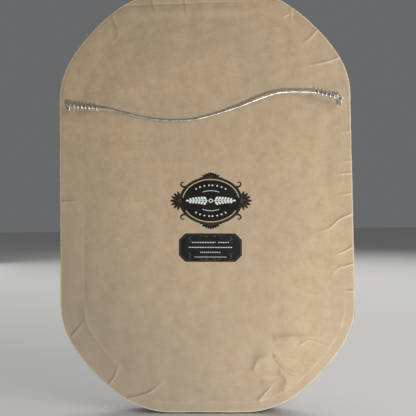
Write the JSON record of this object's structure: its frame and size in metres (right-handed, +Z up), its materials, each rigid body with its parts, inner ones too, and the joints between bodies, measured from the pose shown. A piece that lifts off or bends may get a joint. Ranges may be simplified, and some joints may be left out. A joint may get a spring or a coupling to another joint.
{
  "type": "framed luna moth",
  "caption": "Luna moth pinned behind convex glass in an oblong frame with rounded corners, with a papered back, two screw eyes and a hanging wire.",
  "frame": {"origin": "middle of the papered back, on the paper's outer face, which hangs against the wall", "axes": "+Z up as the case hangs, +Y out of the papered back towards the wall, -Y out of the glass towards the room, +X to the right of someone who looks at the glass"},
  "size_m": [0.24, 0.0432, 0.345],
  "materials": {
    "moulding_wood": "dark stained and waxed",
    "gilt": "rubbed gilt",
    "clear_glass": "clear and polished",
    "velvet": "black velvet",
    "brown_board": "matte hardboard",
    "kraft_paper": "brown kraft paper, matte",
    "bright_steel": "bright zinc-plated",
    "black_print": "black printed label paper",
    "pin_enamel": "black enamel",
    "white_wool": "woolly scales",
    "mint_wing": "powdery wing scales",
    "dark_eye": "glossy",
    "feeler_tan": "feathery",
    "leg_pink": "downy"
  },
  "bodies": {
    "root": {"frame_moulding": "moulding_wood", "frame_slip": "gilt", "glass_dome": "clear_glass", "mount_board": "velvet", "backing_board": "brown_board", "dust_cover": "kraft_paper", "screw_eye_left": "bright_steel", "screw_eye_right": "bright_steel", "hanging_wire": "bright_steel", "wire_wrap_left": "bright_steel", "wire_wrap_right": "bright_steel", "sticker_oval": "black_print", "label_card": "black_print", "specimen_pin": "pin_enamel", "moth_head": "white_wool", "moth_thorax": "white_wool", "moth_abdomen": "white_wool", "moth_eye_left": "dark_eye", "moth_eye_right": "dark_eye", "moth_feeler_left": "feeler_tan", "moth_feeler_right": "feeler_tan", "moth_forewing_left": "mint_wing", "moth_forewing_right": "mint_wing", "moth_hindwing_left": "mint_wing", "moth_hindwing_right": "mint_wing", "moth_foreleg_left": "leg_pink", "moth_foreleg_right": "leg_pink", "moth_midleg_left": "leg_pink", "moth_midleg_right": "leg_pink", "moth_hindleg_left": "leg_pink", "moth_hindleg_right": "leg_pink"}
  },
  "joints": []
}
